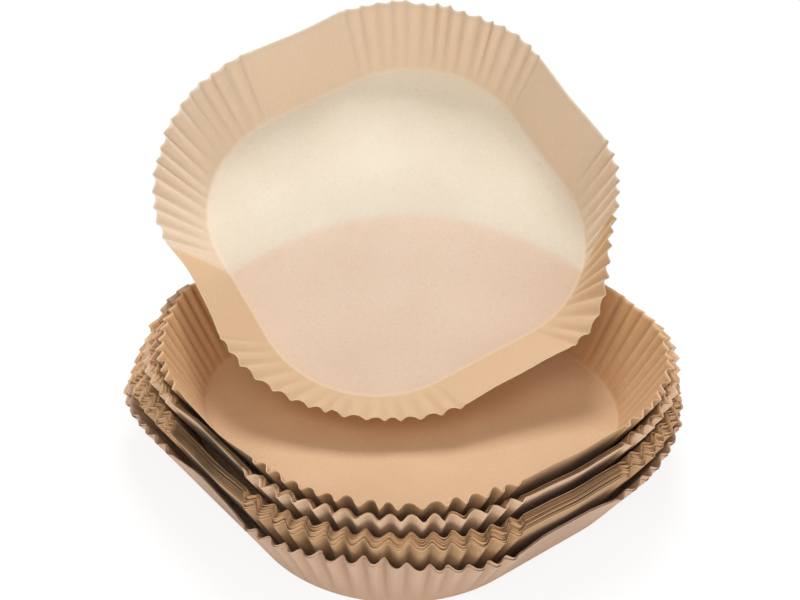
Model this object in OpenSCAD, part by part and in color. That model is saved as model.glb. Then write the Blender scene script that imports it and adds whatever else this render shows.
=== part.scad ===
// A pack of pleated paper liners for a round basket. The liners are nested in one another,
// and one more stands tilted in the bowl of the top one, leaning on its back rim.
// Each liner is one sheet of paper: a flat base, a sloping wall with four pleated corners,
// and a plain side between each two corners. The pleats start at the base crease with no
// depth and deepen to the rim, where the edge runs in and out.
// Millimetres. The origin is the middle of the lowest base, +Z up, +Y away from the viewer.

/* [Sheet] */
// Width of the flat base from corner to corner
base_across = 160; // [140:1:180]
// Length of a plain side along the base crease
plain_side = 42; // [30:1:52]
// How much longer a plain side is at the rim
plain_fan = 2; // [0:0.5:6]
// Length of the wall up its slope, from base crease to rim
wall_slant = 33.5; // [31:0.5:40]
// Thickness of the paper
paper = 0.12; // [0.06:0.01:0.16]
// Pleats in each corner
corner_pleats = 15; // [8:1:18]

/* [Nest] */
// Liners in each bundle of the stack, from the top bundle down, without the leaning one
bundles = [1, 5, 12, 2]; // [1:1:14]
// Step from one base to the next within a bundle
base_step = 0.68; // [0.66:0.01:0.9]
// Step between the bases on both sides of each gap between bundles, from the top down
bundle_step = [2.9, 2.9, 4]; // [1.5:0.1:5]
// How much further each of those gaps opens the rims below it
bundle_flare = [1.6, 1.6, 2]; // [0.5:0.1:2.5]
// Share of that opening at the back corner, below 0 where the bundles lean on one another
back_share = -0.25; // [-0.25:0.05:1]
// Turn of the stack about its upright axis
stack_turn = -6; // [-45:1:45]
// How far the top liner lies to the right of the lowest one
shift_right = 1.5; // [0:0.5:3]
// How far the top liner lies behind the lowest one
shift_back = 3; // [0:0.5:5]
// How much wider than the others the lowest base is pressed, corner to corner
base_spread = 11.5; // [8:0.5:12]

/* [Flare] */
// Outward flare of the top liner's corners: right, back, left, front
top_corner_flare = [16, 26, 15, 16.5]; // [12:0.5:27]
// Outward flare of its plain sides: back right, back left, front left, front right
top_side_flare = [16, 18, 16.5, 16]; // [12:0.5:27]
// Outward flare of the lowest liner's corners, before the bundle gaps
bottom_corner_flare = [12.5, 20, 19.5, 8]; // [8:0.5:22]
// Outward flare of the lowest liner's plain sides, before the bundle gaps
bottom_side_flare = [22.5, 23, 10.5, 11.5]; // [8:0.5:23]

/* [Leaning liner] */
// Turn of the leaning liner about its own axis
lean_turn = -14; // [-45:1:45]
// Distance of its heel behind the middle of the top floor
heel_back = 2; // [0:0.5:4]
// Distance of its middle to the left of the top liner's
lean_left = 7.5; // [0:0.5:10]
// Outward flare of its corners: right, top, left, bottom
lean_corner_flare = [6.5, 10, 16.5, 19.5]; // [6:0.5:24]
// Outward flare of its plain sides: top right, top left, bottom left, bottom right
lean_side_flare = [12.5, 16.5, 19.5, 22]; // [6:0.5:24]
// Clearance between the leaning liner and what it rests on
rest_clearance = 0.2; // [0.1:0.05:0.5]

/* [Hidden] */
function sum_of(list, count) = count == 0 ? 0 : list[count - 1] + sum_of(list, count - 1);
nested = sum_of(bundles, len(bundles));
liner_names = [for (k = [1 : nested]) str("liner_", k < 10 ? "0" : "", k)];

// How far past the outline of its base the leaning liner still meets the rim under it
rim_margin = 1;

kraft_light = [0.87, 0.70, 0.50];
kraft_pale = [0.86, 0.77, 0.68];
kraft_cream = [0.93, 0.86, 0.76];

half_side = plain_side / 2;
corner_radius = base_across / 2 - half_side * sqrt(2);
base_corner_points = corner_pleats + 1;
rim_corner_points = 2 * corner_pleats + 1;
base_count = 4 * base_corner_points;
rim_count = 4 * rim_corner_points;

function toward(angle) = [cos(angle), sin(angle), 0];
function smooth(share) = share * share * (3 - 2 * share);
function height(flare) = sqrt(wall_slant * wall_slant - flare * flare);

// Flare at one angle from the first corner, eased between corners and plain sides
function flare_at(corners, sides, angle) =
    let (turned = (angle + 720) % 360,
         corner = floor(turned / 90),
         from_corner = turned / 45 - 2 * corner,
         side = sides[corner])
    from_corner < 1
        ? corners[corner] + (side - corners[corner]) * smooth(from_corner)
        : side + (corners[(corner + 1) % 4] - side) * smooth(from_corner - 1);

// Rim corner radius for one flare, and the depth that the surplus paper folds to there
function rim_radius(spread, flare) = corner_radius + spread + flare - plain_fan / 2;
function blank_radius(spread) = corner_radius + spread + wall_slant;
function fold_cosine(spread, flare) = rim_radius(spread, flare) / blank_radius(spread);
function fold_depth(spread, flare) =
    blank_radius(spread) * PI / 4 / corner_pleats * sqrt(1 - pow(fold_cosine(spread, flare), 2));

// Direction square to the wall, pointing out of the liner
function wall_normal(angle, flare) =
    (height(flare) * toward(angle) - [0, 0, flare]) / wall_slant;

// One place along a ring: the corner's own direction and the direction of the wall there
function corner_turn(turn, corner) = turn + 90 * corner;
function station(turn, corner, share) = corner_turn(turn, corner) - 45 + 90 * share;

function base_point(turn, spread, corner, share) =
    half_side * sqrt(2) * toward(corner_turn(turn, corner))
    + (corner_radius + spread) * toward(station(turn, corner, share));

function rim_point(turn, spread, corner, share, flare) =
    (half_side + plain_fan / 2) * sqrt(2) * toward(corner_turn(turn, corner))
    + rim_radius(spread, flare) * toward(station(turn, corner, share))
    + [0, 0, height(flare)];

// Pleats fold outward at odd places and inward at even ones, and stop at the plain sides
function fold_side(i) = i == 0 || i == 2 * corner_pleats ? 0 : (i % 2 == 1 ? 1 : -1);

// Rings of points. The shape is [turn, base spread, corner flares, plain side flares]
function flare_of(shape, angle) = flare_at(shape[2], shape[3], angle - shape[0]);

function outer_base(shape) =
    [for (corner = [0 : 3], j = [0 : corner_pleats])
        base_point(shape[0], shape[1], corner, j / corner_pleats)];

function inner_base(shape) =
    [for (corner = [0 : 3], j = [0 : corner_pleats])
        let (angle = station(shape[0], corner, j / corner_pleats),
             flare = flare_of(shape, angle),
             tuck = paper * (wall_slant - flare) / height(flare))
        base_point(shape[0], shape[1], corner, j / corner_pleats)
        - tuck * toward(angle) + [0, 0, paper]];

function outer_rim(shape) =
    [for (corner = [0 : 3], i = [0 : 2 * corner_pleats])
        let (angle = station(shape[0], corner, i / 2 / corner_pleats),
             flare = flare_of(shape, angle))
        rim_point(shape[0], shape[1], corner, i / 2 / corner_pleats, flare)
        + fold_side(i) * fold_depth(shape[1], flare) / 2 * wall_normal(angle, flare)];

function inner_rim(shape) =
    let (outer = outer_rim(shape))
    [for (corner = [0 : 3], i = [0 : 2 * corner_pleats])
        let (angle = station(shape[0], corner, i / 2 / corner_pleats),
             flare = flare_of(shape, angle),
             cosine = fold_side(i) == 0 ? 1 : fold_cosine(shape[1], flare))
        outer[corner * rim_corner_points + i] - paper / cosine * wall_normal(angle, flare)];

// Wall facets between a base ring and a rim ring: three to a pleat, two to a plain side
function wall_faces(base_start, rim_start) = concat(
    [for (corner = [0 : 3], j = [0 : corner_pleats - 1])
        let (b = base_start + corner * base_corner_points + j,
             r = rim_start + corner * rim_corner_points + 2 * j)
        each [[b, r, r + 1], [b, r + 1, b + 1], [b + 1, r + 1, r + 2]]],
    [for (corner = [0 : 3])
        let (next = (corner + 1) % 4,
             b = base_start + corner * base_corner_points + corner_pleats,
             r = rim_start + corner * rim_corner_points + 2 * corner_pleats,
             next_b = base_start + next * base_corner_points,
             next_r = rim_start + next * rim_corner_points)
        each [[b, r, next_r], [b, next_r, next_b]]]);

function turned_over(faces) = [for (face = faces) [for (i = [len(face) - 1 : -1 : 0]) face[i]]];

module sheet(shape) {
    inner_start = base_count + rim_count;
    points = concat(outer_base(shape), outer_rim(shape), inner_rim(shape), inner_base(shape));
    rim_lip = [for (i = [0 : rim_count - 1])
        let (o = base_count + i, next = base_count + (i + 1) % rim_count)
        each [[o, o + rim_count, next + rim_count], [o, next + rim_count, next]]];
    faces = concat(
        [[for (i = [0 : base_count - 1]) i]],
        wall_faces(0, base_count),
        rim_lip,
        turned_over(wall_faces(inner_start + rim_count, inner_start)),
        [[for (i = [base_count - 1 : -1 : 0]) inner_start + rim_count + i]]);
    polyhedron(points, faces, convexity = 12);
}

// Bundle that a liner is in, 0 at the top, and how far its base lies below the top one
function bundle(k) = max([for (b = [0 : len(bundles) - 1]) if (nested - k >= sum_of(bundles, b)) b]);
function drop(k) = base_step * (nested - k - bundle(k)) + sum_of(bundle_step, bundle(k));

// How far down the stack a liner lies: 0 at the top, 1 at the bottom
function depth(k) = drop(k) / drop(1);

// Flares of a liner, with the share of the bundle gaps above it that each one takes
function eased(top, bottom, shares, k) =
    top + (bottom - top) * depth(k) + sum_of(bundle_flare, bundle(k)) * shares;

function nested_shape(k) =
    [stack_turn, base_spread / 2 * depth(k),
     eased(top_corner_flare, bottom_corner_flare, [1, back_share, 1, 1], k),
     eased(top_side_flare, bottom_side_flare, [1, 1, 1, 1], k)];
function nested_place(k) =
    [shift_right * (1 - depth(k)), shift_back * (1 - depth(k)), drop(1) - drop(k)];

module nested_liner(k) {
    translate(nested_place(k)) sheet(nested_shape(k));
}

// The leaning liner stands on the top floor and tips back until its base meets the top rim
lean_shape = [lean_turn, 0, lean_corner_flare, lean_side_flare];
top_place = nested_place(nested);
heel = top_place + [-lean_left, heel_back, paper + rest_clearance];
heel_reach = half_side * sqrt(2) * cos(lean_turn) + corner_radius;
top_rim = [for (p = outer_rim(nested_shape(nested))) p + top_place];

// Whether a point under the leaning base lies within its outline, measured from its middle
function under_base(across, up) =
    let (square = lean_turn + 45,
         beside = abs(across * cos(square) + up * sin(square)),
         along = abs(up * cos(square) - across * sin(square)))
    norm([max(beside - half_side, 0), max(along - half_side, 0)]) < corner_radius + rim_margin;

function from_heel(p) = norm([p[1] - heel[1], p[2] - heel[2]]);
function tip_angle(p) = atan2(p[2] + rest_clearance - heel[2], p[1] - heel[1]);
lean_angle = max([for (p = top_rim)
    if (p[1] > heel[1] && under_base(p[0] - heel[0], from_heel(p) - heel_reach)) tip_angle(p)]);

module leaning_liner() {
    color(kraft_cream)
        translate(heel) rotate([lean_angle, 0, 0]) translate([0, heel_reach, 0]) sheet(lean_shape);
}

module stack_liner(k) {
    color(bundle(k) == len(bundles) - 1 ? kraft_pale : kraft_light) nested_liner(k);
}

for (k = [1 : nested]) stack_liner(k);
leaning_liner();
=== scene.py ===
"""A nest of pleated paper liners for a round basket, with one more liner tilted in the top bowl."""
import math
import random

import bmesh
import bpy
from mathutils import Matrix, Vector, noise


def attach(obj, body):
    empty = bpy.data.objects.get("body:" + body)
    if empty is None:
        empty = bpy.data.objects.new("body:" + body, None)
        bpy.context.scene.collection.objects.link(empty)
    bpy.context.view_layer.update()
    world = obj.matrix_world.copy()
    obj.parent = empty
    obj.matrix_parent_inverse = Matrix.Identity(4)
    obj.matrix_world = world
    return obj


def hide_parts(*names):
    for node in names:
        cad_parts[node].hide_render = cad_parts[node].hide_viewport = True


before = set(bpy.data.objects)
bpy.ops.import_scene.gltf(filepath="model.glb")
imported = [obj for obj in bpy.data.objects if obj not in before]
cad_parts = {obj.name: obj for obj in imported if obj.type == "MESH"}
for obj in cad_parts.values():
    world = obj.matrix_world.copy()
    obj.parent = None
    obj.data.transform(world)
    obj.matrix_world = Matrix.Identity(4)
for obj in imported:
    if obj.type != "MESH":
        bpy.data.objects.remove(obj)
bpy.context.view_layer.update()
MM = 0.001

# One sheet, in millimetres
BASE_ACROSS = 160
PLAIN_SIDE = 42
PLAIN_FAN = 2
WALL_SLANT = 33.5
PAPER = 0.1
CORNER_PLEATS = 15
HALF_SIDE = PLAIN_SIDE / 2
CORNER_RADIUS = BASE_ACROSS / 2 - HALF_SIDE * math.sqrt(2)

# The nest, from the top bundle down
BUNDLES = [1, 5, 12, 2]
BASE_STEP = 0.68
BUNDLE_STEP = [2.9, 2.9, 4]
BUNDLE_FLARE = [1.6, 1.6, 2]
BACK_SHARE = -0.25
STACK_TURN = -6
SHIFT_RIGHT = 1.5
SHIFT_BACK = 3
BASE_SPREAD = 11.5
NESTED = sum(BUNDLES)

# Flares of corners (right, back, left, front) and of the plain sides that follow them
TOP_CORNERS, TOP_SIDES = [16, 26, 15, 16.5], [16, 18, 16.5, 16]
BOTTOM_CORNERS, BOTTOM_SIDES = [12.5, 20, 19.5, 8], [22.5, 23, 10.5, 11.5]
LEAN_CORNERS, LEAN_SIDES = [6.5, 10, 16.5, 19.5], [12.5, 16.5, 19.5, 22]

# The leaning liner
LEAN_TURN = -14
LEAN_ANGLE = 31.0988
HEEL = Vector((-6, 5, 21))
HEEL_REACH = HALF_SIDE * math.sqrt(2) * math.cos(math.radians(LEAN_TURN)) + CORNER_RADIUS

# Where the nest's back rim keeps light from coming through the leaning sheet, which gets painted shade
# below it: a shallow arc, in metres
RIM_MIDDLE = 0.002
RIM_BACK = 0.0755
RIM_CURVE = 4.5
RIM_BLUR = 0.0025

# How fast the folds deepen up the wall: below 1, they are deep soon after the base crease
FOLD_RISE = 0.7

# How far the folds' widths and depths stray, as shares, and how much of a pleat they take to fade
# out beside a plain side
WIDTH_STRAY = 0.13
DEPTH_STRAY = (-0.22, 0.12)
FOLD_FADE = 0.6

# The ripple along a plain side, in millimetres, and its pace
SIDE_RIPPLE = 0.25
RIPPLE_PACE = 9

# Slow noise that bows the walls and waves the bases: its steps around and up a wall, the wall's
# bow in millimetres, and the paces of the broad and fine waves of a base
STEP_AROUND = 2.2
STEP_UP = 0.8
WALL_BOW = 0.45
BROAD_WAVE = 0.025
FINE_WAVE = 0.07
FINE_SHARE = 0.4

# How ragged a rim is: its pace, and how far it strays, as a share of the wall
RAGGED_PACE = 3
RAGGED_SHOWN = 0.05
RAGGED_NESTED = 0.08
RAGGED_LEANING = 0.04

# How deep the bases of the top bowl and of the leaning liner wave, in millimetres: the lower a
# sheet is in the nest, the flatter it lies
BASE_WAVE = 0.5

# Points to a pleat and to a plain side along a ring, and the rows of points from the middle
# of the base (0) over the base crease (1) to the rim (2)
PLEAT_POINTS = 8
SIDE_POINTS = 8
RING_POINTS = 4 * (CORNER_PLEATS * PLEAT_POINTS + SIDE_POINTS)
FINE_ROWS = [0.07, 0.3, 0.55, 0.78, 0.92, 0.98, 1.0, 1.03, 1.12, 1.28, 1.46, 1.64, 1.82, 1.94, 2.0]
HIDDEN_ROWS = [0.3, 0.94, 1.0, 1.05, 1.25, 1.5, 1.75, 1.92, 2.0]


def smooth(share):
    return share * share * (3 - 2 * share)


def toward(angle):
    return Vector((math.cos(math.radians(angle)), math.sin(math.radians(angle)), 0))


def flare_at(corners, sides, angle):
    """A value given at four corners and the four plain sides after them, eased around the ring."""
    turned = angle % 360
    corner = int(turned // 90)
    part = turned / 45 - 2 * corner
    side = sides[corner]
    if part < 1:
        return corners[corner] + (side - corners[corner]) * smooth(part)
    return side + (corners[(corner + 1) % 4] - side) * smooth(part - 1)


class Folding:
    """How the pleats are folded: uneven widths and depths, roundness, each plain side's bow and dip."""

    def __init__(self, seed, skew, bows, dips=(0, 0, 0, 0), uneven=1.0, depth=1.0):
        chance = random.Random(seed)
        self.skew = skew
        self.bows = bows
        self.dips = dips
        self.folds = []
        for corner in range(4):
            inner = [j + uneven * chance.uniform(-WIDTH_STRAY, WIDTH_STRAY)
                     for j in range(1, CORNER_PLEATS)]
            places = [0.0] + inner + [float(CORNER_PLEATS)]
            depths = [depth * (1 + uneven * chance.uniform(*DEPTH_STRAY)) for _ in places]
            self.folds.append((places, depths))

    def wave(self, corner, share):
        places, depths = self.folds[corner]
        at = share * CORNER_PLEATS
        j = min(max(sum(1 for p in places if p <= at) - 1, 0), CORNER_PLEATS - 1)
        part = (at - places[j]) / (places[j + 1] - places[j])
        phase = 2 * math.pi * part + math.pi
        depth = depths[j] + (depths[j + 1] - depths[j]) * part
        ends = min(1, min(share, 1 - share) * CORNER_PLEATS / FOLD_FADE)
        return math.cos(phase + self.skew * math.sin(phase)) * depth * smooth(ends)


def ring_stations(turn, spread, corners, sides, folding):
    """Base point, rim point, outward direction, half depth of the fold and dip of the rim, all around."""
    def station(corner, share):
        corner_way = turn + 90 * corner
        way = corner_way - 45 + 90 * share
        flare = flare_at(corners, sides, way - turn)
        height = math.sqrt(WALL_SLANT ** 2 - flare ** 2)
        rim_radius = CORNER_RADIUS + spread + flare - PLAIN_FAN / 2
        blank_radius = CORNER_RADIUS + spread + WALL_SLANT
        base = toward(corner_way) * HALF_SIDE * math.sqrt(2) + toward(way) * (CORNER_RADIUS + spread)
        rim = toward(corner_way) * (HALF_SIDE + PLAIN_FAN / 2) * math.sqrt(2) + toward(way) * rim_radius
        rim.z = height
        out = (toward(way) * height - Vector((0, 0, flare))) / WALL_SLANT
        surplus = math.sqrt(1 - (rim_radius / blank_radius) ** 2)
        depth = blank_radius * math.pi / 4 / CORNER_PLEATS * surplus
        dip = flare_at([0, 0, 0, 0], folding.dips, way - turn)
        return [base, rim, out, depth / 2 * folding.wave(corner, share), dip]

    points = CORNER_PLEATS * PLEAT_POINTS
    ring = []
    for corner in range(4):
        ring += [station(corner, j / points) for j in range(points + 1)]
        last, first = ring[-1], station((corner + 1) % 4, 0)
        for m in range(1, SIDE_POINTS):
            part = m / SIDE_POINTS
            base, rim, out = (a.lerp(b, part) for a, b in zip(last[:3], first[:3]))
            arch = 4 * part * (1 - part)
            ripple = SIDE_RIPPLE * math.sin(RIPPLE_PACE * part + corner) * smooth(arch)
            bow = folding.bows[corner] * arch + ripple
            ring.append([base, rim, out.normalized(), bow, last[4]])
    return ring


def draw_rings(bm, rows, up_layer, around):
    """A disc whose edge is drawn out row by row, with its middle point as the result."""
    disc = bmesh.ops.create_circle(bm, cap_ends=True, cap_tris=True, radius=1,
                                   segments=RING_POINTS)["verts"]
    middle = min(disc, key=lambda v: v.co.length)
    edge_verts = sorted((v for v in disc if v is not middle),
                        key=lambda v: math.atan2(v.co.y, v.co.x) % math.tau)
    for i, v in enumerate(edge_verts):
        v[around] = i
        v[up_layer] = rows[0]
    middle[up_layer] = 0.0
    loop = [e for e in bm.edges if middle not in e.verts]
    for row in rows[1:]:
        drawn = bmesh.ops.extrude_edge_only(bm, edges=loop)["geom"]
        for v in drawn:
            if isinstance(v, bmesh.types.BMVert):
                v[up_layer] = row
                v.co = v.co * (1 + row)
        loop = [e for e in drawn if isinstance(e, bmesh.types.BMEdge)
                and all(abs(v[up_layer] - row) < 1e-6 for v in e.verts)]
    return middle


def sheet_mesh(name, ring, rows, place, shared_seed, own_seed, base_wave, ragged, longer=0.0):
    """A sheet folded from a disc: a flat base, a crease and a pleated wall up to the rim."""
    bm = bmesh.new()
    up_layer = bm.verts.layers.float.new("up_sheet")
    fold_layer = bm.verts.layers.float.new("fold")
    around = bm.verts.layers.int.new("around")
    middle = draw_rings(bm, rows, up_layer, around)
    for v in bm.verts:
        up = v[up_layer]
        base, rim, out, fold, dip = ring[v[around]]
        if v is middle:
            co = Vector((0, 0, 0))
        elif up <= 1:
            co = base * up
        else:
            share = up - 1
            turned = v[around] / RING_POINTS * math.tau
            where = Vector((math.cos(turned) * STEP_AROUND, math.sin(turned) * STEP_AROUND,
                            share * STEP_UP))
            over = longer + ragged * noise.noise(where * RAGGED_PACE + Vector((own_seed, 0, 9)))
            share *= 1 + (over - dip) * share * share
            fold *= share ** FOLD_RISE
            v[fold_layer] = fold
            co = base.lerp(rim, share) + out * fold
            bow = WALL_BOW * noise.noise(where + Vector((shared_seed, 4, 2)))
            co += out * bow * 4 * share * (1 - share)
        flat = Vector((co.x, co.y, 0))
        swell = noise.noise(flat * BROAD_WAVE + Vector((shared_seed, 7, 1)))
        swell += FINE_SHARE * noise.noise(flat * FINE_WAVE + Vector((3, shared_seed, 5)))
        co.z += base_wave * (0.5 + swell) * (1 - min(1, up) ** 6)
        v.co = (place @ co) * MM
    bmesh.ops.recalc_face_normals(bm, faces=bm.faces)
    under = place.to_3x3() @ Vector((0, 0, -1))
    if middle.link_faces[0].normal.dot(under) < 0:
        bmesh.ops.reverse_faces(bm, faces=bm.faces)
    for f in bm.faces:
        f.smooth = True
    mesh = bpy.data.meshes.new(name)
    bm.to_mesh(mesh)
    bm.free()
    piece = bpy.data.objects.new(name, mesh)
    bpy.context.collection.objects.link(piece)
    wall = piece.modifiers.new("paper", "SOLIDIFY")
    wall.thickness = PAPER * MM
    wall.offset = -1
    return piece


# Materials
# Where a tone sets in and is whole, along the rows of a sheet (1 at the base crease, 2 at the rim): the
# wall's darker tone of painted shade, a painted highlight along the base crease, a painted lit band under
# a rim, painted shade just under a rim and a painted highlight on the rim
WALL_TONE = (0.97, 1.06)
CREASE_HIGHLIGHT_LINE = (0.975, 1.0)
LIT_BAND_ZONE = (1.79, 1.88)
RIM_SHADE_ZONE = (1.90, 1.96)
RIM_HIGHLIGHT_ZONE = (1.972, 1.988)

# The same for the depth of a fold in millimetres, where painted shade darkens the grooves as seen from
# inside and from outside
INSIDE_GROOVE = (-0.1, 0.75)
OUTSIDE_GROOVE = (-0.15, -1.1)

# The same for the noise of the clouds and of the two layers of fibres
CLOUD_ZONE = (0.3, 0.7)
FIBRE_ZONE = (0.55, 0.75)
CROSSED_ZONE = (0.56, 0.76)

# How much darker or paler than the paper the fibres are, and how dark or pale the painted shade in the
# grooves and under the rims, the painted highlight on the rims and the painted highlight along the base
# crease are
FIBRE_DARK, FIBRE_PALE = 0.72, 1.15
GROOVE_SHADE_DARK = 0.55
RIM_SHADE_DARK, RIM_HIGHLIGHT_PALE = 0.7, 1.25
CREASE_HIGHLIGHT_PALE = 1.12

# Scales of the clouds and fibres, how rough the fibres are, and how the two layers of them are
# drawn out and turned (in radians)
CLOUD_SCALE = 34
FIBRE_SCALE, FIBRE_STRETCH, FIBRE_TURN = 520, (1, 3.2, 1), 0.5
CROSSED_SCALE, CROSSED_STRETCH, CROSSED_TURN = 430, (3.4, 1, 1), -0.3
FIBRE_ROUGH = 0.6

# Sockets of a node that mixes colours
MIX_SHARE, MIX_FIRST, MIX_SECOND, MIX_RESULT = 0, 6, 7, 2


def painted_nest_shade(nodes, links, place):
    """1 on the low part of the leaning sheet, in front of the nest's back rim, where painted shade
    darkens it for the light that the nest keeps from coming through.
    """
    axes = nodes.new("ShaderNodeSeparateXYZ")
    links.new(place, axes.inputs["Vector"])

    def figured(kind, first, second, third=0.0):
        node = nodes.new("ShaderNodeMath")
        node.operation = kind
        for socket, value in zip(node.inputs, (first, second, third)):
            if isinstance(value, float):
                socket.default_value = value
            else:
                links.new(value, socket)
        return node.outputs["Value"]

    across = figured("SUBTRACT", axes.outputs["X"], RIM_MIDDLE)
    level = figured("MULTIPLY_ADD", figured("MULTIPLY", across, across), RIM_CURVE, axes.outputs["Y"])
    ramp = nodes.new("ShaderNodeMapRange")
    ramp.interpolation_type = "SMOOTHSTEP"
    ramp.inputs["From Min"].default_value = RIM_BACK + RIM_BLUR
    ramp.inputs["From Max"].default_value = RIM_BACK - RIM_BLUR
    links.new(level, ramp.inputs["Value"])
    return ramp.outputs["Result"]


def times(colour, factor):
    return tuple(min(1, c * factor) for c in colour)


def paper(name, lit, shade, wall, edge, crease, fold_shade, speckle=0.5, through=0.0,
          seen_inside=False, see_through_shade=None, painted_lit_band=None):
    """Unbleached greaseproof paper with clouds and fine fibres, with painted shade in the grooves and
    under the rims and painted highlights on the rims and along the soft base crease.

    lit and shade are the tones of the base's clouds, and wall is the tone above the base crease, darker
    and more saturated than the base to paint the shade on the walls.
    """
    material = bpy.data.materials.new(name)
    material.use_nodes = True
    tree = material.node_tree
    nodes, links = tree.nodes, tree.links
    nodes.clear()
    place = nodes.new("ShaderNodeTexCoord").outputs["Object"]

    def scaled(stretch, turn):
        node = nodes.new("ShaderNodeMapping")
        node.inputs["Scale"].default_value = stretch
        node.inputs["Rotation"].default_value = (0, 0, turn)
        links.new(place, node.inputs["Vector"])
        return node.outputs["Vector"]

    def cloud(vector, scale, rough=0.5):
        node = nodes.new("ShaderNodeTexNoise")
        node.inputs["Scale"].default_value = scale
        node.inputs["Detail"].default_value = 2
        node.inputs["Roughness"].default_value = rough
        links.new(vector, node.inputs["Vector"])
        return node.outputs["Fac"]

    def attribute(key):
        node = nodes.new("ShaderNodeAttribute")
        node.attribute_name = key
        return node.outputs["Fac"]

    def ranged(value, low, high, most=1.0):
        node = nodes.new("ShaderNodeMapRange")
        for key, number in (("From Min", low), ("From Max", high), ("To Min", 0.0), ("To Max", most)):
            node.inputs[key].default_value = number
        links.new(value, node.inputs["Value"])
        return node.outputs["Result"]

    def blended(first, second, share, kind="MIX"):
        node = nodes.new("ShaderNodeMix")
        node.data_type = "RGBA"
        node.blend_type = kind
        for key, value in ((MIX_FIRST, first), (MIX_SECOND, second)):
            if isinstance(value, tuple):
                node.inputs[key].default_value = (*value, 1)
            else:
                links.new(value, node.inputs[key])
        links.new(share, node.inputs[MIX_SHARE])
        return node.outputs[MIX_RESULT]

    clouds = cloud(place, CLOUD_SCALE)
    fibres = cloud(scaled(FIBRE_STRETCH, FIBRE_TURN), FIBRE_SCALE, FIBRE_ROUGH)
    crossed = cloud(scaled(CROSSED_STRETCH, CROSSED_TURN), CROSSED_SCALE, FIBRE_ROUGH)
    up = attribute("up_sheet")
    fold = attribute("fold")
    tone = blended(shade, lit, ranged(clouds, *CLOUD_ZONE))
    # Above the base crease the wall's darker tone sets in: painted shade on the walls
    tone = blended(tone, wall, ranged(up, *WALL_TONE))
    # A painted lit band under the rim, above the painted shade of the wall
    if painted_lit_band:
        tone = blended(tone, painted_lit_band, ranged(up, *LIT_BAND_ZONE))
    tone = blended(tone, times(lit, FIBRE_DARK), ranged(fibres, *FIBRE_ZONE, speckle))
    tone = blended(tone, times(lit, FIBRE_PALE), ranged(crossed, *CROSSED_ZONE, speckle))
    # Painted shade in the grooves of the folds
    groove = INSIDE_GROOVE if seen_inside else OUTSIDE_GROOVE
    tone = blended(tone, times(wall, GROOVE_SHADE_DARK), ranged(fold, *groove, fold_shade))
    # Painted shade just under each rim and a painted highlight on the rim itself, so the rims of a bundle
    # stand apart as dark and light lines
    tone = blended(tone, times(wall, RIM_SHADE_DARK), ranged(up, *RIM_SHADE_ZONE, edge * 0.75))
    tone = blended(tone, times(lit, RIM_HIGHLIGHT_PALE), ranged(up, *RIM_HIGHLIGHT_ZONE, edge))
    # A painted highlight along the base crease, where the curled paper catches the light
    tone = blended(tone, times(lit, CREASE_HIGHLIGHT_PALE), ranged(up, *CREASE_HIGHLIGHT_LINE, crease))
    # Painted shade on the low part of the leaning sheet, where the nest behind it keeps light from coming
    # through
    if see_through_shade:
        see_through_shade_tone = blended(*see_through_shade, ranged(up, *WALL_TONE))
        tone = blended(tone, see_through_shade_tone, painted_nest_shade(nodes, links, place), "MULTIPLY")
    both = nodes.new("ShaderNodeMath")
    both.operation = "ADD"
    links.new(fibres, both.inputs[0])
    links.new(crossed, both.inputs[1])
    relief = nodes.new("ShaderNodeBump")
    relief.inputs["Strength"].default_value = 0.3
    relief.inputs["Distance"].default_value = 0.00012
    links.new(both.outputs["Value"], relief.inputs["Height"])
    surface = nodes.new("ShaderNodeBsdfPrincipled")
    surface.inputs["Roughness"].default_value = 0.78
    surface.inputs["Specular IOR Level"].default_value = 0.28
    surface.inputs["Sheen Weight"].default_value = 0.12
    surface.inputs["Sheen Roughness"].default_value = 0.5
    links.new(tone, surface.inputs["Base Color"])
    links.new(relief.outputs["Normal"], surface.inputs["Normal"])
    finish = surface
    if through:
        behind = nodes.new("ShaderNodeBsdfTranslucent")
        links.new(tone, behind.inputs["Color"])
        finish = nodes.new("ShaderNodeMixShader")
        finish.inputs["Fac"].default_value = through
        links.new(surface.outputs["BSDF"], finish.inputs[1])
        links.new(behind.outputs["BSDF"], finish.inputs[2])
    output = nodes.new("ShaderNodeOutputMaterial")
    links.new(finish.outputs[0], output.inputs["Surface"])
    return material


# Each paper's wall tone is darker and more saturated than its base: painted shade on the walls
BOWL_PAPER = paper("bowl paper", (0.65, 0.435, 0.27), (0.59, 0.385, 0.225), (0.55, 0.32, 0.145),
                   edge=0.6, crease=0.3, fold_shade=0.65, seen_inside=True)
NESTED_PAPER = paper("nested paper", (0.60, 0.39, 0.23), (0.54, 0.345, 0.195), (0.41, 0.235, 0.10),
                     edge=0.6, crease=0.25, fold_shade=0.65)
# The lowest sheet of the second bundle: a painted lit band under its rim, where the front light falls,
# and painted shade on its wall below
LIT_BAND_PAPER = paper("nested paper with painted lit band", (0.70, 0.50, 0.35), (0.65, 0.45, 0.31), (0.36, 0.20, 0.09),
                   edge=0.25, crease=0.25, fold_shade=0.4, painted_lit_band=(0.66, 0.45, 0.30))
OUTER_PAPER = paper("outer paper", (0.60, 0.415, 0.30), (0.55, 0.37, 0.255), (0.56, 0.375, 0.265),
                    edge=0.4, crease=0.15, fold_shade=0.45)
# The leaning sheet's cream base is paler than the nest's paper: painted light that comes through the
# paper from behind, and painted sheen of the front light
LEANING_PAPER = paper("leaning paper", (0.88, 0.82, 0.72), (0.85, 0.78, 0.67), (0.77, 0.575, 0.395),
                      edge=0.35, crease=0.45, fold_shade=0.3, speckle=0.35, through=0.38,
                      seen_inside=True, see_through_shade=((1.0, 0.90, 0.85), (0.93, 0.83, 0.68)))


# The nest
def bundle(k):
    return max(b for b in range(len(BUNDLES)) if NESTED - k >= sum(BUNDLES[:b]))


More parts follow.
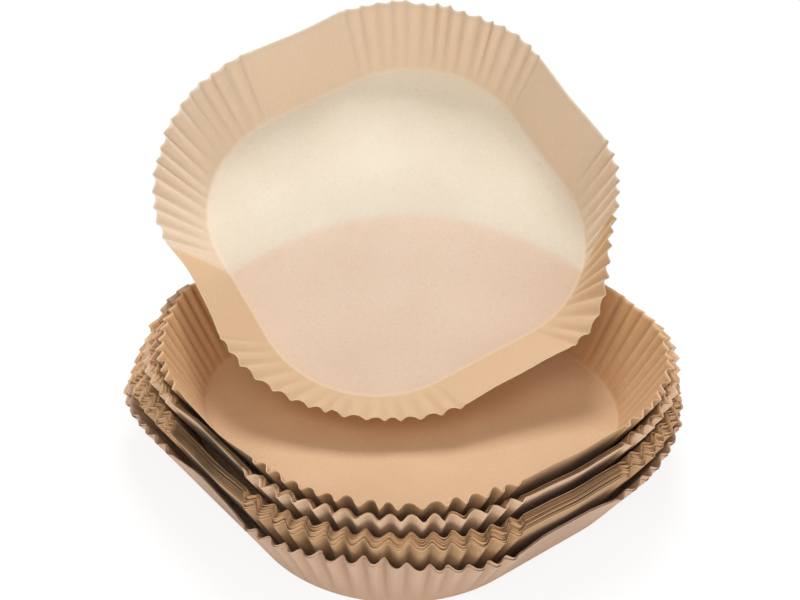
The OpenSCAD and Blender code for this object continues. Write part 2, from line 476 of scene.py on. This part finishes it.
def drop(k):
    return BASE_STEP * (NESTED - k - bundle(k)) + sum(BUNDLE_STEP[:bundle(k)])


def eased(top, bottom, shares, k):
    """A sheet's flares, between those of the top and the lowest, with wider steps between bundles."""
    share = drop(k) / drop(1)
    step = sum(BUNDLE_FLARE[:bundle(k)])
    return [a + (b - a) * share + step * part for a, b, part in zip(top, bottom, shares)]


# Bows in millimetres and dips of the rim as shares of the wall, for the plain sides right-back,
# back-left, left-front and front-right
BUNDLE_FOLDING = [
    Folding(21, 0.40, [-0.5, -0.6, 1.5, 0.3], uneven=1.5),
    Folding(22, 0.25, [-0.3, -0.5, -0.9, 0.7], [0, 0, 0.04, 0.09]),
    Folding(23, -0.25, [-0.2, -0.4, 0.6, 0.5], [0, 0, 0.05, 0.10]),
    Folding(24, -0.40, [-0.5, -0.8, -1.7, -1.7], [0, 0, 0.13, 0.24]),
]

# How far the rims in a bundle draw together and stray, how far the rims of the second and third
# bundle stand out, and how far the outermost stay short, as shares of the wall
RIM_GATHER = 0.05
RIM_STRAY = 0.035
BUNDLE_LONGER = [0, 0.01, -0.025]
OUTER_SHORT = -0.05

# Where the noise of the nest's walls and of each rim starts, and the same for the leaning liner
SHARED_SEED = 11
RIM_SEED_STEP = 5.3
LEANING_SEED = 40
LEANING_RIM_SEED = 77


def is_outer(k):
    return bundle(k) == len(BUNDLES) - 1


def rim_longer(k):
    if is_outer(k):
        return OUTER_SHORT
    if k == NESTED:
        return 0
    above = sum(BUNDLES[:bundle(k)])
    deep = (NESTED - k - above) / (BUNDLES[bundle(k)] - 1)
    stray = RIM_STRAY * noise.noise(Vector((k * 1.7, 3, 5)))
    return RIM_GATHER * (2 * deep - 1) + stray + BUNDLE_LONGER[bundle(k)]


def nested_paper(k):
    if is_outer(k):
        return OUTER_PAPER
    if k == NESTED - sum(BUNDLES[:2]) + 1:
        return LIT_BAND_PAPER
    return NESTED_PAPER


def nested_liner(k):
    share = drop(k) / drop(1)
    corners = eased(TOP_CORNERS, BOTTOM_CORNERS, (1, BACK_SHARE, 1, 1), k)
    sides = eased(TOP_SIDES, BOTTOM_SIDES, (1, 1, 1, 1), k)
    ring = ring_stations(STACK_TURN, BASE_SPREAD / 2 * share, corners, sides, BUNDLE_FOLDING[bundle(k)])
    place = Matrix.Translation((SHIFT_RIGHT * (1 - share), SHIFT_BACK * (1 - share), drop(1) - drop(k)))
    name = f"liner_{k:02d}"
    shown = k in (1, NESTED)
    piece = sheet_mesh(name + "_paper", ring, FINE_ROWS if shown else HIDDEN_ROWS, place,
                       SHARED_SEED, k * RIM_SEED_STEP, BASE_WAVE * (1 - share),
                       RAGGED_SHOWN if shown else RAGGED_NESTED, rim_longer(k))
    piece.data.materials.append(nested_paper(k))
    if k == NESTED:
        piece.data.materials.append(BOWL_PAPER)
        piece.modifiers["paper"].material_offset = 1
        piece.modifiers["paper"].material_offset_rim = 1
    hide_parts(name)
    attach(piece, "root")


for number in range(1, NESTED + 1):
    nested_liner(number)


# The leaning liner
def leaning_liner():
    folding = Folding(31, 0.45, [-0.8, -1.6, -2.2, -0.5], uneven=1.5, depth=0.7)
    ring = ring_stations(LEAN_TURN, 0, LEAN_CORNERS, LEAN_SIDES, folding)
    place = (Matrix.Translation(HEEL) @ Matrix.Rotation(math.radians(LEAN_ANGLE), 4, "X")
             @ Matrix.Translation((0, HEEL_REACH, 0)))
    piece = sheet_mesh("leaning_liner_paper", ring, FINE_ROWS, place,
                       LEANING_SEED, LEANING_RIM_SEED, BASE_WAVE, RAGGED_LEANING)
    piece.data.materials.append(LEANING_PAPER)
    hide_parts("leaning_liner")
    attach(piece, "root")


leaning_liner()

# The floor, in metres: for the camera it is mostly glow, so that it stays as pale as a studio sweep
FLOOR_HALF = 3
FLOOR_TONE = 0.95
FLOOR_GLOW = 0.85


def make_floor():
    bm = bmesh.new()
    bmesh.ops.create_grid(bm, x_segments=1, y_segments=1, size=FLOOR_HALF)
    mesh = bpy.data.meshes.new("floor")
    bm.to_mesh(mesh)
    bm.free()
    floor = bpy.data.objects.new("floor", mesh)
    bpy.context.collection.objects.link(floor)
    material = bpy.data.materials.new("pale floor")
    material.use_nodes = True
    nodes, links = material.node_tree.nodes, material.node_tree.links
    surface = nodes["Principled BSDF"]
    surface.inputs["Base Color"].default_value = (FLOOR_TONE, FLOOR_TONE, FLOOR_TONE, 1)
    surface.inputs["Roughness"].default_value = 0.9
    surface.inputs["Specular IOR Level"].default_value = 0.1
    seen = nodes.new("ShaderNodeLightPath")
    share = nodes.new("ShaderNodeMath")
    share.operation = "MULTIPLY"
    share.inputs[1].default_value = FLOOR_GLOW
    links.new(seen.outputs["Is Camera Ray"], share.inputs[0])
    glow = nodes.new("ShaderNodeEmission")
    mixed = nodes.new("ShaderNodeMixShader")
    links.new(share.outputs["Value"], mixed.inputs["Fac"])
    links.new(surface.outputs["BSDF"], mixed.inputs[1])
    links.new(glow.outputs["Emission"], mixed.inputs[2])
    links.new(mixed.outputs["Shader"], nodes["Material Output"].inputs["Surface"])
    mesh.materials.append(material)


make_floor()

# Camera
CAMERA_TARGET = Vector((-0.0035, 0.0048, 0.0656))
CAMERA_DISTANCE = 0.495
CAMERA_ELEVATION = math.radians(31.57)
CAMERA_ROLL = math.radians(-1.19)
CAMERA_LENS = 59.7
CAMERA_SENSOR = 36


def make_camera():
    back = Vector((0, -math.cos(CAMERA_ELEVATION), math.sin(CAMERA_ELEVATION)))
    right = Vector((1, 0, 0))
    up = back.cross(right)
    turned_right = right * math.cos(CAMERA_ROLL) - up * math.sin(CAMERA_ROLL)
    turned_up = right * math.sin(CAMERA_ROLL) + up * math.cos(CAMERA_ROLL)
    data = bpy.data.cameras.new("camera")
    data.lens = CAMERA_LENS
    data.sensor_width = CAMERA_SENSOR
    camera = bpy.data.objects.new("camera", data)
    bpy.context.collection.objects.link(camera)
    turn = Matrix((turned_right, turned_up, back)).transposed().to_4x4()
    camera.matrix_world = Matrix.Translation(CAMERA_TARGET + back * CAMERA_DISTANCE) @ turn
    bpy.context.scene.camera = camera


make_camera()

# Light
WARM_WHITE = (1, 0.95, 0.86)
WORLD_ON_PIECES = 0.42
WORLD_SEEN = 1.0


def area_lamp(name, place, target, size, energy, colour=(1, 1, 1)):
    data = bpy.data.lights.new(name, "AREA")
    data.size = size
    data.energy = energy
    data.color = colour
    lamp = bpy.data.objects.new(name, data)
    bpy.context.collection.objects.link(lamp)
    place = Vector(place)
    turn = (place - Vector(target)).to_track_quat("Z", "Y").to_matrix().to_4x4()
    lamp.matrix_world = Matrix.Translation(place) @ turn


def make_world():
    world = bpy.data.worlds.new("studio")
    bpy.context.scene.world = world
    world.use_nodes = True
    nodes, links = world.node_tree.nodes, world.node_tree.links
    nodes.clear()
    path = nodes.new("ShaderNodeLightPath")
    seen = nodes.new("ShaderNodeMath")
    seen.operation = "MAXIMUM"
    links.new(path.outputs["Is Camera Ray"], seen.inputs[0])
    links.new(path.outputs["Is Glossy Ray"], seen.inputs[1])
    strength = nodes.new("ShaderNodeMapRange")
    strength.inputs["To Min"].default_value = WORLD_ON_PIECES
    strength.inputs["To Max"].default_value = WORLD_SEEN
    links.new(seen.outputs["Value"], strength.inputs["Value"])
    background = nodes.new("ShaderNodeBackground")
    background.inputs["Color"].default_value = (1, 1, 1, 1)
    links.new(strength.outputs["Result"], background.inputs["Strength"])
    output = nodes.new("ShaderNodeOutputWorld")
    links.new(background.outputs["Background"], output.inputs["Surface"])


make_world()
area_lamp("key", (0, 0.45, 1.05), (0, 0, 0.05), 0.4, 8.5)
area_lamp("fill", (-0.3, -0.85, 0.85), (0, 0.03, 0.06), 0.7, 4.8, WARM_WHITE)
area_lamp("low fill", (0.6, -0.75, 0.4), (0, 0, 0.04), 0.6, 2.5, WARM_WHITE)

bpy.context.scene.view_settings.view_transform = "Standard"
